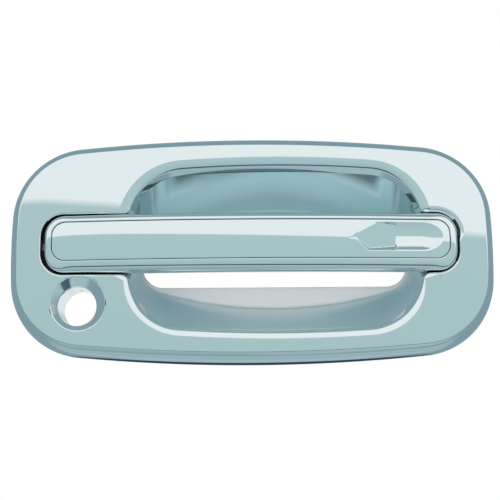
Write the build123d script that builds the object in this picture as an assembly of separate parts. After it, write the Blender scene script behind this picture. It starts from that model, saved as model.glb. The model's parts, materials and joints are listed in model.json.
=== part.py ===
from build123d import *
from math import acos, asin, atan2, cos, degrees, hypot, radians, sin, sqrt
import os

# Outside door handle with a pull bar that swings on a vertical pin, millimetres.
# X runs along the bar, Z is up, -Y faces away from the door.
# The plane Y = 0 is the outer face of the door skin. The origin is midway between the two studs.

# Bezel: the bright surround.
bezel_length = 250.0
bezel_height = 118.6
bezel_depth = 15.0
bezel_corner = 39.5
bezel_end_rise = 5.0
bezel_edge_rise = 8.6
bezel_wall = 2.5
bezel_rim_roll = 6.0
skirt_draft = 0.2
skirt_gap = 0.5
crown_across = 450.0
crown_along = 2200.0

# Slot that the bar lies in, and the finger pocket that crosses it.
slot_left_margin = 18.0
slot_right_margin = 19.5
slot_height = 31.8
slot_rise = 2.0
slot_corner = 11.0
hinge_seat = 45.0
latch_seat = 19.5
pocket_margin = 17.8
pocket_corner = 27.0
pocket_rise = 3.9
pocket_end_rise = 2.15
pocket_flare = 5.0
slot_flare = 0.6
throat_corner = 3.0
collar_wall = 2.2
collar_back = -5.0

# Cup behind the pocket, open at the back.
cup_wall = 1.8
cup_flange = 4.0
cup_flange_thick = 1.2
cup_floor = 18.0
cup_draft_height = 13.7
cup_draft_length = 2.0
cup_floor_rise = 12.1
cup_floor_corner = 14.0
window_ledge = 11.3
window_end_ledge = 1.5
window_corner = 11.0

# Carrier: the black frame behind the bezel.
carrier_thick = 2.2
carrier_front = collar_back + cup_flange_thick
carrier_back = carrier_front + carrier_thick
carrier_gap = 0.4
carrier_rib = 5.0
carrier_rib_wall = 2.0
gasket_width = 4.5
gasket_inset = 1.2
stud_inset_x = 27.0
stud_inset_z = 26.3
stud_radius = 3.0
stud_neck = 3.6
stud_reach = 20.0
stud_pad = 7.0
stud_head = 5.0
stud_head_thick = 1.8
screw_inset_x = 4.0
screw_inset_z = 19.0
boss_radius = 3.2
screw_radius = 1.25
screw_length = 6.0
screw_head = 2.9
rivet_radius = 1.8
rivet_head = 1.6

# Lock cylinder seat.
lock_radius = 9.9
lock_dish = 14.0
lock_dish_depth = 3.0
lock_wall = 2.4
lock_back = 12.0
lock_in = 18.2
lock_gap = 1.5
lock_flange = 15.5
lock_flange_thick = 1.6
lock_clip_at = 4.0
lock_clip_thick = 1.2
lock_clip_width = 1.6
lock_clip_clear = 0.1
lock_clip_stand_off = 3.5
lock_seal_thick = 0.8

# Pull bar.
bar_left_gap = 1.8
bar_right_gap = 1.5
bar_edge_gap = 1.1
bar_corner = 10.5
bar_bow = 6.0
bar_crown = 60.0
bar_thick = 8.8
bar_wall = 1.8
bar_roll = 3.0
bar_end_proud = 0.2
core_length_inset = 8.0
core_height = 18.0
panel_rail = 5.0
panel_sink = 0.5
dimple_length = 25.0
dimple_height = 13.5
dimple_inset = 11.0
dimple_depth = 2.2

# Hinge of the bar.
pull_angle = 6.5
pin_inset = 13.0
pin_radius = 2.2
pin_head = 1.2
sheet_thick = 1.6
pin_depth = carrier_back + sheet_thick + pin_radius + pin_head + 0.2
knuckle_radius = 5.2
knuckle_height = 15.0
bush_wall = 1.0
bush_flange = 0.8
running = 0.05
ear_thick = 1.6
ear_clear = 0.2
foot_thick = 1.6
foot_screw_head = 2.2
foot_screw_tip = 1.1

# Arm that passes through the latch end, and the release lever that it pulls.
arm_width = 8.0
arm_height = 12.0
arm_end_inset = 6.0
arm_reach = 31.0
arm_screw_inset = 13.5
lug_width = 5.0
lug_length = 11.0
guide_clear = 0.5
guide_wall = 2.0
guide_lip = 0.8
guide_back = 3.0
lever_radius = 22.0
lever_thick = 3.0
lever_gap = 1.5
lever_hub = 5.0
lever_shaft = 2.2
rod_leg = 20.0
rod_leg_angle = 25.0
drive_pin = 2.0
drive_clear = 0.5
ear_width = 18.0
spring_wire = 0.65
spring_pitch = 2.2
rod_radius = 2.1
rod_clip_post = 3.4
rod_clip_reach = 15.0
bumper_radius = 2.0
bumper_offset = 11.4



def arc_radius(chord, rise):
    """Radius of a shallow arc that rises by so much at the middle of its chord."""
    return (chord**2 / 4 + rise**2) / (2 * rise)


# Sizes that follow.
slot_left = -bezel_length / 2 + slot_left_margin
slot_right = bezel_length / 2 - slot_right_margin
slot_length = slot_right - slot_left
slot_x = (slot_left + slot_right) / 2
pocket_left = slot_left + hinge_seat
pocket_right = slot_right - latch_seat
pocket_length = pocket_right - pocket_left
pocket_x = (pocket_left + pocket_right) / 2
pocket_height = bezel_height - 2 * pocket_margin
floor_length = pocket_length - 2 * cup_draft_length
floor_height = pocket_height - 2 * cup_draft_height
bezel_end_bow = arc_radius(bezel_height, bezel_end_rise)
bezel_edge_bow = arc_radius(bezel_length, bezel_edge_rise)
pocket_bow = arc_radius(pocket_length, pocket_rise)
pocket_end_bow = arc_radius(pocket_height, pocket_end_rise)
cup_floor_bow = arc_radius(floor_length, cup_floor_rise)
rim_inset = bezel_wall + carrier_gap - skirt_draft * carrier_front
window_length = floor_length - 2 * window_end_ledge
window_height = floor_height - 2 * window_ledge
stud_x = bezel_length / 2 - stud_inset_x
stud_z = bezel_height / 2 - stud_inset_z
lock_x = slot_left + lock_in
lock_z = slot_rise - slot_height / 2 - lock_gap - lock_dish
lock_outer = lock_radius + lock_wall
bar_left = slot_left + bar_left_gap
bar_right = slot_right - bar_right_gap
bar_length = bar_right - bar_left
bar_x = (bar_left + bar_right) / 2
bar_height = slot_height - 2 * bar_edge_gap
bar_hollow = panel_sink + dimple_depth + bar_wall
bar_front = -bezel_depth - bar_end_proud - bar_bow + 0.2
bar_sweep = (bar_length / 2) ** 2 / (2 * bar_bow)
pin_x = slot_left + pin_inset
arm_radius = bar_right - arm_end_inset - pin_x
arm_rest = degrees(asin(arm_reach / arm_radius))
drive_x = pin_x + arm_radius * cos(radians(arm_rest))
drive_y = pin_depth + arm_reach
drive_pulled_y = pin_depth + arm_radius * sin(radians(arm_rest - pull_angle))
lever_angle = 2 * degrees(asin((drive_y - drive_pulled_y) / (2 * lever_radius)))
lever_drop = lever_radius * cos(radians(lever_angle / 2))
lever_y = (drive_y + drive_pulled_y) / 2
lever_z = slot_rise + lever_drop
lever_x = pin_x + arm_radius + arm_width / 2 + lever_gap
arm_z = slot_rise - (lever_radius - lever_drop) / 2
ear_left = pin_x + arm_radius - arm_width / 2 - 3.5
ear_right = lever_x + lever_thick + 1.5
hub_left = ear_left + 0.3
hub_right = ear_right - 0.3


def facing(y):
    """Sketch plane at depth y: local x is X, local y is Z, and it extrudes away from the door."""
    return Plane(origin=(0, y, 0), x_dir=(1, 0, 0), z_dir=(0, -1, 0))


def slab(sketch, y_back, y_front):
    return extrude(facing(y_back) * sketch, amount=y_back - y_front)


def along_y(radius, y_back, y_front, x, z):
    return slab(Pos(x, z) * Circle(radius), y_back, y_front)


def along_x(radius, x_from, x_to, y, z):
    base = Plane(origin=(x_from, y, z), x_dir=(0, 1, 0), z_dir=(1, 0, 0))
    return extrude(base * Circle(radius), amount=x_to - x_from)


def along_z(radius, z_from, z_to, x, y):
    base = Plane(origin=(x, y, z_from), x_dir=(1, 0, 0), z_dir=(0, 0, 1))
    return extrude(base * Circle(radius), amount=z_to - z_from)


def side_plate(outline, x_from, x_to):
    """Plate cut to an outline drawn as (Y, Z) and running from x_from to x_to."""
    base = Plane(origin=(x_from, 0, 0), x_dir=(0, 1, 0), z_dir=(1, 0, 0))
    return extrude(base * outline, amount=x_to - x_from)


def block(low, high):
    size = [b - a for a, b in zip(low, high)]
    middle = [(a + b) / 2 for a, b in zip(low, high)]
    return Pos(*middle) * Box(*size)


def bowed_rectangle(length, height, edge_bow, end_bow, corner, grow=0.0):
    """Rectangle with four shallow arcs for sides and rounded corners, grown outwards all round."""
    half_length, half_height = length / 2 + grow, height / 2 + grow
    edge, end = edge_bow + grow, end_bow + grow
    shape = Pos(0, half_height - edge) * Circle(edge) & Pos(0, edge - half_height) * Circle(edge)
    shape = shape & Pos(half_length - end, 0) * Rot(0, 0, 180) * Circle(end)
    shape = shape & Pos(end - half_length, 0) * Circle(end)
    return fillet(shape.vertices(), corner + grow)


def bezel_outline(inset):
    return bowed_rectangle(bezel_length, bezel_height, bezel_edge_bow, bezel_end_bow, bezel_corner, -inset)


def pocket_outline(grow):
    shape = bowed_rectangle(pocket_length, pocket_height, pocket_bow, pocket_end_bow, pocket_corner, grow)
    return Pos(pocket_x, 0) * shape


def slot_outline(grow):
    shape = RectangleRounded(slot_length + 2 * grow, slot_height + 2 * grow, slot_corner + grow)
    return Pos(slot_x, slot_rise) * shape


def opening_outline(pocket_grow, slot_grow, corner):
    """Slot and pocket as one hole, with its four inner corners rounded unless corner is zero."""
    both = slot_outline(slot_grow) + pocket_outline(pocket_grow)
    if not corner:
        return both
    edge = slot_height / 2 + slot_grow
    reach = pocket_length / 2 + pocket_grow + 0.01
    inner = [
        v
        for v in both.vertices()
        if abs(abs(v.Y - slot_rise) - edge) < 0.01 and abs(v.X - pocket_x) < reach
    ]
    return fillet(inner, corner)


def bow(x, along):
    """How far a face bent along X has fallen back at a distance from its middle."""
    return x**2 / (2 * along)


def bent_block(front, back, along, half_height, half_length, x, z, across=None):
    """Block bowed along X; its front is also an arc across Z where across is given."""
    drop = across - sqrt(across**2 - half_height**2) if across else 0
    sections = []
    for step in (-half_length, 0, half_length):
        near, far = front + bow(step, along), back + bow(step, along)
        top, middle, bottom = (near + drop, z + half_height), (near, z), (near + drop, z - half_height)
        edge = ThreePointArc(bottom, middle, top) if across else Line(bottom, top)
        sides = Polyline(top, (far, z + half_height), (far, z - half_height), bottom)
        base = Plane(origin=(x + step, 0, 0), x_dir=(0, 1, 0), z_dir=(1, 0, 0))
        sections.append((base * make_face(edge + sides)).face())
    return loft(sections)


def bezel_body(inset, back):
    """The bezel's outer form, shrunk on all sides by inset."""
    front = inset - bezel_depth
    low = facing(back) * bezel_outline(inset - skirt_draft * back)
    high = facing(front - 1) * bezel_outline(inset - skirt_draft * (front - 1))
    skirt = loft([low.face(), high.face()], ruled=True)
    crown = bent_block(
        front, 2 * bezel_depth, crown_along, bezel_height * 0.6, bezel_length * 0.6, 0, 0, crown_across
    )
    body = (skirt & crown).solid()
    rim = [e for e in body.edges() if e.bounding_box().max.Y < front / 2]
    return fillet(rim, bezel_rim_roll - inset)


def throat_form(grow, corner, back):
    """The flared hole from the face to a depth behind it."""
    levels = [
        (back, 0.0, 0.0),
        (collar_back - 0.4 * bezel_depth + collar_wall / 2, 0.2 * pocket_flare, 0.2 * slot_flare),
        (-bezel_depth - 1, pocket_flare, slot_flare),
    ]
    faces = [facing(y) * opening_outline(p + grow, s + grow, corner) for y, p, s in levels]
    return loft([f.face() for f in faces], ruled=True)


def face_depth(x, z):
    """Depth of the crowned face at a place on it."""
    return -bezel_depth + bow(x, crown_along) + bow(z, crown_across)


def lock_seat():
    """Depth at which the lock sleeve stops, behind the deepest part of the wall that it meets."""
    return face_depth(lock_x - lock_outer * 0.6, lock_z - lock_outer) + bezel_wall + 0.2


def screw_places():
    z = bezel_height / 2 - screw_inset_z
    left, right = pocket_left - screw_inset_x, pocket_right - screw_inset_x / 2
    return [(x, s * z) for x in (left, right) for s in (1, -1)]


def stud_places():
    return [(-stud_x, stud_z), (stud_x, -stud_z)]


def bezel_shell():
    lock_face = face_depth(lock_x, lock_z)
    dish_back = lock_face + lock_dish_depth
    hollow = bezel_body(bezel_wall, skirt_gap + 1)
    hollow -= throat_form(collar_wall, 0, collar_back)
    hollow -= along_y(lock_dish + 2, lock_seat(), -2 * bezel_depth, lock_x, lock_z)
    for x, z in screw_places():
        hollow -= along_y(boss_radius, carrier_front, -2 * bezel_depth, x, z)
    body = bezel_body(0, -skirt_gap) - throat_form(0, throat_corner, skirt_gap)
    wide = lock_dish + lock_dish / lock_radius
    body -= along_y(lock_radius, skirt_gap, -2 * bezel_depth, lock_x, lock_z)
    body -= Pos(lock_x, dish_back - 2, lock_z) * Rot(90, 0, 0) * Cone(lock_radius, wide, 4)
    body -= hollow
    for x, z in screw_places():
        body -= along_y(screw_radius, carrier_front + 1, carrier_front + carrier_thick - screw_length, x, z)
    return body.solid()


def cup_form(grow, front, back):
    """Tapered pocket form between the throat and the cup floor."""
    mouth = facing(front) * pocket_outline(grow)
    floor_shape = bowed_rectangle(
        floor_length, floor_height, cup_floor_bow, pocket_end_bow, cup_floor_corner, grow
    )
    return loft([mouth.face(), (facing(back) * Pos(pocket_x, 0) * floor_shape).face()], ruled=True)


def window_outline(grow=0.0):
    shape = RectangleRounded(window_length + 2 * grow, window_height + 2 * grow, window_corner + grow)
    return Pos(pocket_x, 0) * shape


def pocket_cup():
    body = cup_form(cup_wall, collar_back, cup_floor + cup_wall)
    body += slab(pocket_outline(cup_flange), carrier_front, collar_back)
    body -= cup_form(0, collar_back, cup_floor)
    body -= slab(window_outline(), cup_floor + cup_wall + 1, cup_floor - 1)
    return body.solid()


def hinge_hole(grow=0.0):
    low, high = pin_x - knuckle_radius - 4, pin_x + knuckle_radius + 9
    shape = RectangleRounded(high - low + 2 * grow, knuckle_height + 9 + 2 * grow, 2)
    return Pos((low + high) / 2, slot_rise) * shape


def guide_outline(grow):
    wide, tall = arm_width + 2 * grow, arm_height + 2 * grow
    return Pos(pin_x + arm_radius, arm_z) * RectangleRounded(wide, tall, 1)


def bumper_places():
    return [(pin_x + arm_radius - 1, arm_z + s * bumper_offset) for s in (1, -1)]


def hinge_rivet_places():
    return [(pin_x - knuckle_radius - 6.5, slot_rise), (pin_x + knuckle_radius + 12.5, slot_rise)]


def lever_rivet_places():
    x = pin_x + arm_radius
    return [(x, lever_z + ear_width / 2 + 3), (x, arm_z - arm_height / 2 - guide_wall - 9.5)]


def inside_gasket(inset):
    """Outline of the room that the perimeter gasket leaves, drawn in by inset."""
    return bezel_outline(rim_inset + gasket_inset + gasket_width + carrier_gap + inset)


def carrier_frame():
    body = slab(bezel_outline(rim_inset), carrier_back, carrier_front)
    rib = inside_gasket(0) - inside_gasket(carrier_rib_wall)
    body += slab(rib, carrier_back + 1.2, carrier_back)
    around_cup = pocket_outline(cup_wall + carrier_gap + carrier_rib_wall)
    body += slab(around_cup, carrier_back + carrier_rib, carrier_back)
    for x, z in stud_places():
        body += along_y(stud_pad, 0, carrier_back, x, z)
    body -= cup_form(cup_wall + carrier_gap, collar_back, cup_floor + cup_wall)
    body -= slab(hinge_hole(), 10, -10)
    body -= slab(guide_outline(guide_clear + guide_wall), 10, -10)
    body -= along_y(lock_outer, 10, -10, lock_x, lock_z)
    # Flats for the two sheet brackets, which lie on the back of the plate.
    for outline in (hinge_plate_outline(carrier_gap), lever_plate_outline(carrier_gap)):
        body -= slab(outline, carrier_back + 10, carrier_back)
    for x, z in stud_places():
        body -= along_y(stud_neck, 10, -10, x, z)
    for x, z in screw_places():
        body -= along_y(screw_radius + carrier_gap, 10, -10, x, z)
        body -= along_y(screw_head + carrier_gap / 2, 10, carrier_back, x, z)
    for x, z in bumper_places():
        body -= along_y(bumper_radius / 2, 10, -10, x, z)
    for x, z in hinge_rivet_places() + lever_rivet_places():
        body -= along_y(rivet_radius, 10, -10, x, z)
    return body.solid()


def hinge_plate_outline(grow=0.0):
    left, right = hinge_rivet_places()
    wide = right[0] - left[0] + 8 + 2 * grow
    return Pos((left[0] + right[0]) / 2, slot_rise) * RectangleRounded(wide, 26 + 2 * grow, 3)


def lever_plate_outline(grow=0.0):
    """Narrow strap through both rivets, and a wide part that carries the two ears."""
    (x, high), (x, low) = lever_rivet_places()
    strap = Pos(x, (low + high) / 2) * RectangleRounded(12 + 2 * grow, high - low + 9 + 2 * grow, 3)
    left, right = ear_left - ear_thick - grow, ear_right + ear_thick + grow
    bottom, top = low - 4 - grow, lever_z + ear_width / 2 + 1.5 + grow
    wide = Pos((left + right) / 2, (bottom + top) / 2) * RectangleRounded(right - left, top - bottom, 1)
    return (strap + wide) & inside_gasket(0)


def perimeter_gasket():
    inset = rim_inset + gasket_inset
    ring = bezel_outline(inset) - bezel_outline(inset + gasket_width)
    return slab(ring, 0, carrier_back).solid()


def mounting_studs():
    studs = []
    for x, z in stud_places():
        head = slab(Pos(x, z) * RegularPolygon(stud_head, 6), carrier_front, carrier_front - stud_head_thick)
        shank = along_y(stud_radius, stud_reach, -0.1, x, z)
        tip = [e for e in shank.edges() if abs(e.center().Y - stud_reach) < 0.01]
        neck = along_y(stud_neck, 0, carrier_front, x, z)
        studs.append(head + neck + chamfer(tip, 0.8))
    return Compound(children=studs)


def cross_screw(x, z, seat, length, radius, head, head_height):
    """Pan head screw put in from behind: the head sits on y = seat and the shank runs towards the face."""
    cap = along_y(head, seat + head_height, seat, x, z)
    crown = [e for e in cap.edges() if abs(e.center().Y - seat - head_height) < 0.01]
    cap = fillet(crown, head_height * 0.45)
    shank = along_y(radius, seat, seat - length, x, z)
    cross = Rectangle(head * 1.1, head * 0.28) + Rectangle(head * 0.28, head * 1.1)
    return cap + shank - slab(Pos(x, z) * cross, seat + head_height + 1, seat + head_height * 0.35)


def carrier_screws():
    seat = carrier_back
    screws = [cross_screw(x, z, seat, screw_length, screw_radius, screw_head, 1.9) for x, z in screw_places()]
    return Compound(children=screws)


def lock_sleeve():
    body = along_y(lock_outer, lock_back, lock_seat(), lock_x, lock_z)
    flange = along_y(lock_flange, carrier_front, carrier_front - lock_flange_thick, lock_x, lock_z)
    # The flange is cut straight where the slot's collar passes above it.
    top = lock_z + lock_outer + 0.2
    flange -= block((lock_x - 30, -20, top), (lock_x + 30, 20, top + 30))
    body = body + flange - along_y(lock_radius, 30, -30, lock_x, lock_z)
    arms = lock_clip_solid(lock_clip_clear)
    return (body - arms).solid()


def lock_clip_solid(grow=0.0):
    """U of spring steel round the sleeve: two arms along X, joined beyond the sleeve's left side."""
    low, high = lock_clip_at - grow, lock_clip_at + lock_clip_thick + grow
    inner = lock_radius + 0.05 - grow
    outer = inner + lock_clip_width + 2 * grow
    left, right = lock_x - lock_outer - lock_clip_stand_off, lock_x + lock_outer * 0.7
    upper = block((left, low, lock_z + inner), (right + grow, high, lock_z + outer))
    lower = block((left, low, lock_z - outer), (right + grow, high, lock_z - inner))
    bridge = block((left - lock_clip_width, low, lock_z - outer), (left, high, lock_z + outer))
    return upper + lower + bridge


def lock_retaining_clip():
    body = lock_clip_solid()
    left = lock_x - lock_outer - lock_clip_stand_off - lock_clip_width
    tab = block((left - 4, lock_clip_at, lock_z - 4), (left, lock_clip_at + lock_clip_thick, lock_z + 4))
    return (body + tab).solid()


def lock_seal():
    ring = Circle(lock_outer + lock_seal_thick) - Circle(lock_outer + 0.05)
    return slab(Pos(lock_x, lock_z) * ring, carrier_front - lock_flange_thick, lock_seat() + 0.1).solid()


def knuckle_limits():
    return slot_rise - knuckle_height / 2, slot_rise + knuckle_height / 2


def ear_limits():
    """Inner face of the lower ear and of the upper ear."""
    low, high = knuckle_limits()
    return low - bush_flange - ear_clear, high + bush_flange + ear_clear


def hinge_bracket():
    plate = slab(hinge_plate_outline(), carrier_back + sheet_thick, carrier_back)
    window = Pos(pin_x + 1.0, slot_rise) * Rectangle(2 * knuckle_radius + 4.0, ear_limits()[1] - ear_limits()[0])
    plate -= slab(window, 10, -10)
    reach = pin_depth + knuckle_radius + 1.0
    low, high = ear_limits()
    ear = Rectangle(2 * knuckle_radius, reach - carrier_back, align=(Align.CENTER, Align.MIN))
    ears = []
    for z in (low - ear_thick, high):
        base = Plane(origin=(pin_x, carrier_back, z), x_dir=(1, 0, 0), z_dir=(0, 0, 1))
        ears.append(extrude(base * ear, amount=ear_thick))
    body = plate + ears[0] + ears[1]
    tips = [e for e in body.edges().filter_by(Axis.Z) if abs(e.center().Y - reach) < 0.01]
    body = fillet(tips, knuckle_radius * 0.8)
    body -= along_z(pin_radius, low - 10, high + 10, pin_x, pin_depth)
    for x, z in hinge_rivet_places():
        body -= along_y(rivet_radius, 10, -10, x, z)
    return body.solid()


def hinge_pin():
    low, high = ear_limits()
    top, bottom = high + ear_thick, low - ear_thick
    shank = along_z(pin_radius, bottom - 2.4, top, pin_x, pin_depth)
    head = along_z(pin_radius + pin_head, top, top + 1.5, pin_x, pin_depth)
    head = fillet(head.edges().sort_by(Axis.Z)[-1], 0.7)
    groove = along_z(pin_radius + 1, bottom - 1.0, bottom - 0.3, pin_x, pin_depth)
    groove -= along_z(pin_radius - 0.5, bottom - 2, bottom, pin_x, pin_depth)
    return (shank + head - groove).solid()


def retaining_ring(radius):
    """Flat open ring that snaps into a groove, drawn in its own plane."""
    ring = Circle(radius + pin_head) - Circle(radius - 0.45)
    gap = Pos(radius + 1.0, 0) * Rectangle(2 * radius + 2, radius * 1.2)
    return ring - gap


def hinge_pin_ring():
    bottom = ear_limits()[0] - ear_thick
    base = Plane(origin=(pin_x, pin_depth, bottom - 0.95), x_dir=(0, 1, 0), z_dir=(0, 0, 1))
    return extrude(base * retaining_ring(pin_radius), amount=0.6).solid()


def rivets(places, seat):
    found = []
    for x, z in places:
        shank = along_y(rivet_radius, seat, carrier_front, x, z)
        head = along_y(rivet_radius + rivet_head, seat + 1.2, seat, x, z)
        head = fillet(head.edges().sort_by(Axis.Y)[-1], 0.8)
        found.append(shank + head)
    return Compound(children=found)


def lever_bracket():
    plate = slab(lever_plate_outline(), carrier_back + sheet_thick, carrier_back)
    plate -= slab(guide_outline(guide_clear + guide_wall + 0.2), 10, -10)
    reach = lever_y + 8
    body = plate
    tongue = Pos((carrier_back + reach) / 2, lever_z) * Rectangle(reach - carrier_back, ear_width)
    tongue = fillet(tongue.vertices().group_by(Axis.X)[-1], ear_width * 0.42)
    for x in (ear_left - ear_thick, ear_right):
        body += side_plate(tongue, x, x + ear_thick)
    # The ears are notched where they would reach the perimeter gasket.
    body -= slab(bezel_outline(0) - inside_gasket(0), carrier_gap, carrier_back)
    body -= along_x(lever_shaft, 0, bezel_length, lever_y, lever_z)
    body -= along_y(spring_wire + 0.3, 10, -10, spring_start(), lever_z - spring_coil())
    for x, z in lever_rivet_places():
        body -= along_y(rivet_radius, 10, -10, x, z)
    for x, z in bumper_places():
        body -= along_y(bumper_radius, 10, -10, x, z)
    return body.solid()


def lever_shaft_pin():
    left, right = ear_left - ear_thick, ear_right + ear_thick
    shank = along_x(lever_shaft, left - 2.4, right, lever_y, lever_z)
    head = along_x(lever_shaft + pin_head, right, right + 1.5, lever_y, lever_z)
    head = fillet(head.edges().sort_by(Axis.X)[-1], 0.7)
    groove = along_x(lever_shaft + 1, left - 1.0, left - 0.3, lever_y, lever_z)
    groove -= along_x(lever_shaft - 0.5, left - 2, left, lever_y, lever_z)
    return (shank + head - groove).solid()


def lever_shaft_ring():
    left = ear_left - ear_thick
    base = Plane(origin=(left - 0.95, lever_y, lever_z), x_dir=(0, 1, 0), z_dir=(1, 0, 0))
    return extrude(base * retaining_ring(lever_shaft), amount=0.6).solid()


def arm_guide():
    sleeve = slab(guide_outline(guide_clear + guide_wall), guide_back, carrier_front)
    lip = slab(guide_outline(guide_clear + guide_wall + guide_lip), carrier_front, carrier_front - 0.5)
    return (sleeve + lip - slab(guide_outline(guide_clear), 10, -10)).solid()


def stop_bumpers():
    found = []
    for x, z in bumper_places():
        rear = bar_rear_depth(x + bumper_radius)
        head = along_y(bumper_radius, carrier_front, rear + 0.05, x, z)
        stem = along_y(bumper_radius / 2, carrier_back, carrier_front, x, z)
        barb = along_y(bumper_radius * 0.8, carrier_back + 1.4, carrier_back, x, z)
        found.append(head + stem + barb)
    return Compound(children=found)


def bar_rear_depth(x):
    """Depth of the bar's rear face, which is bowed like its front."""
    return bar_front + bar_thick + bow(x - bar_x, bar_sweep)


def bar_layer(inset, front, back, corner, across=None):
    """Slice of the bar between two depths measured from its apex, with its edges drawn in by inset."""
    outline = RectangleRounded(bar_length - 2 * inset, bar_height - 2 * inset, corner)
    column = slab(Pos(bar_x, slot_rise) * outline, 20, bar_front - 10)
    half_height, half_length = bar_height * 0.6, bar_length * 0.6
    low, high = bar_front + front, bar_front + back
    ring = bent_block(low, high, bar_sweep, half_height, half_length, bar_x, slot_rise, across)
    return (column & ring).solid()


def panel_cut():
    """Shallow sunk panel along the face, which leaves a rail all round."""
    outside = bar_layer(panel_rail, -5, bar_thick, bar_corner - panel_rail)
    inside = bar_layer(0, panel_sink, bar_thick + 5, bar_corner, bar_crown - panel_sink)
    return outside - inside


def dimple_cut():
    """Thumb dimple near the latch end: a long shallow scoop."""
    x = bar_right - dimple_inset - dimple_length / 2
    radius = (dimple_height**2 / 4 + dimple_depth**2) / (2 * dimple_depth)
    depth = bar_front + bow(x - bar_x, bar_sweep) + panel_sink
    centre = depth + dimple_depth - radius
    straight = dimple_length - dimple_height
    left, right = x - straight / 2, x + straight / 2
    body = along_x(radius, left, right, centre, slot_rise)
    for end in (left, right):
        body += Pos(end, centre, slot_rise) * Sphere(radius)
    return body


def grip_shell():
    body = bar_layer(0, 0, bar_thick, bar_corner, bar_crown)
    rim = [e for e in body.edges() if e.bounding_box().max.Y < bar_front + bar_bow + bar_roll]
    body = fillet(rim, bar_roll)
    body -= bar_layer(bar_wall, bar_hollow, bar_thick + 5, bar_corner - bar_wall)
    body -= panel_cut()
    body -= dimple_cut()
    return body.solid()


def grip_back():
    body = bar_layer(bar_wall, bar_thick - bar_wall, bar_thick, bar_corner - bar_wall)
    for x, z in grip_screw_places() + arm_screw_places():
        body -= along_y(screw_radius, 20, -40, x, z)
    return body.solid()


def grip_core():
    inset = (bar_height - core_height) / 2
    body = bar_layer(inset, bar_hollow, bar_thick - bar_wall, 3)
    body &= block((bar_left + core_length_inset, -60, -60), (bar_right - core_length_inset, 60, 60))
    for step in (-2, -1, 0, 1, 2):
        body -= slab(Pos(bar_x + step * 26, slot_rise) * SlotOverall(18, 7), 20, -60)
    for x, z in grip_screw_places() + arm_screw_places():
        body -= along_y(screw_radius, 20, -40, x, z)
    return body.solid()


def grip_screw_places():
    """Screws that hold the back to the core, through the hinge knuckle's foot."""
    x = pin_x + knuckle_radius + 4.5
    return [(x, slot_rise + 5.5), (x, slot_rise - 5.5)]


def arm_screw_places():
    x = pin_x + arm_radius - arm_width / 2 - arm_screw_inset
    return [(x, slot_rise + 4.4), (x, slot_rise - 4.4)]


def bar_foot(x_low, x_high, z_low, z_high):
    """Foot that lies on the bar's curved rear face."""
    rear = bar_layer(0, bar_thick, bar_thick + foot_thick, bar_corner)
    return rear & block((x_low, -60, z_low), (x_high, 60, z_high))


def foot_holes(places):
    """Clearance holes with sunk seats for the heads of a foot's screws."""
    found = []
    for x, z in places:
        seat = bar_rear_depth(x) + foot_thick / 2
        found.append(along_y(screw_radius, 20, -40, x, z))
        found.append(along_y(foot_screw_head + 0.15, seat + 4, seat, x, z))
    return found


def hinge_knuckle():
    low, high = knuckle_limits()
    barrel = along_z(knuckle_radius, low, high, pin_x, pin_depth)
    web = block(
        (pin_x - knuckle_radius + 0.6, bar_rear_depth(pin_x) + 0.5, low), (pin_x + knuckle_radius, pin_depth, high)
    )
    foot = bar_foot(pin_x - knuckle_radius + 0.6, pin_x + knuckle_radius + 8, low, high)
    body = barrel + web + foot
    bore = pin_radius + running + bush_wall
    body -= along_z(bore, low - 1, high + 1, pin_x, pin_depth)
    for hole in foot_holes(grip_screw_places()):
        body -= hole
    return body.solid()


def knuckle_bush(upper):
    low, high = knuckle_limits()
    inner, outer = pin_radius + running, pin_radius + running + bush_wall
    if upper:
        body = along_z(outer, slot_rise + 0.5, high, pin_x, pin_depth)
        body += along_z(outer + 1.0, high, high + bush_flange, pin_x, pin_depth)
    else:
        body = along_z(outer, low, slot_rise - 0.5, pin_x, pin_depth)
        body += along_z(outer + 1.0, low - bush_flange, low, pin_x, pin_depth)
    return (body - along_z(inner, low - 5, high + 5, pin_x, pin_depth)).solid()


def arc_band(width, start, end):
    """Flat band about the hinge axis between two angles, drawn in the X-Y plane."""
    inner, outer = arm_radius - width / 2, arm_radius + width / 2

    def at(radius, angle):
        return radius * cos(radians(angle)), radius * sin(radians(angle))

    middle = (start + end) / 2
    edge = ThreePointArc(at(outer, start), at(outer, middle), at(outer, end))
    edge += Line(at(outer, end), at(inner, end))
    edge += ThreePointArc(at(inner, end), at(inner, middle), at(inner, start))
    edge += Line(at(inner, start), at(outer, start))
    return Pos(pin_x, pin_depth) * make_face(edge)


def pull_arm():
    """Arm cut as an arc about the hinge pin, so that it slides through the guide along its own path."""
    foot_y = bar_rear_depth(pin_x + arm_radius) + foot_thick / 2
    start = degrees(asin((foot_y - pin_depth) / arm_radius))
    half_lug = degrees(lug_length / 2 / arm_radius)
    band = arc_band(arm_width, start, arm_rest - half_lug + 0.3)
    level = Plane(origin=(0, 0, arm_z - arm_height / 2), z_dir=(0, 0, 1))
    lug = arc_band(lug_width, arm_rest - half_lug, arm_rest + half_lug)
    body = extrude(level * (band + lug), amount=arm_height)
    x = pin_x + arm_radius
    low, high = arm_z - arm_height / 2, arm_z + arm_height / 2
    body += bar_foot(x - arm_width / 2 - arm_screw_inset - 4, x + arm_width / 2, low, high)
    wide = 2 * (drive_pin + drive_clear) + lug_width * sin(radians(arm_rest)) / 2
    tall = lever_radius - lever_drop + 2 * (drive_pin + drive_clear)
    track = Pos(drive_y, arm_z) * RectangleRounded(wide, tall, wide * 0.45)
    body -= side_plate(track, drive_x - 12, drive_x + 12)
    for hole in foot_holes(arm_screw_places()):
        body -= hole
    return body.solid()


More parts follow.
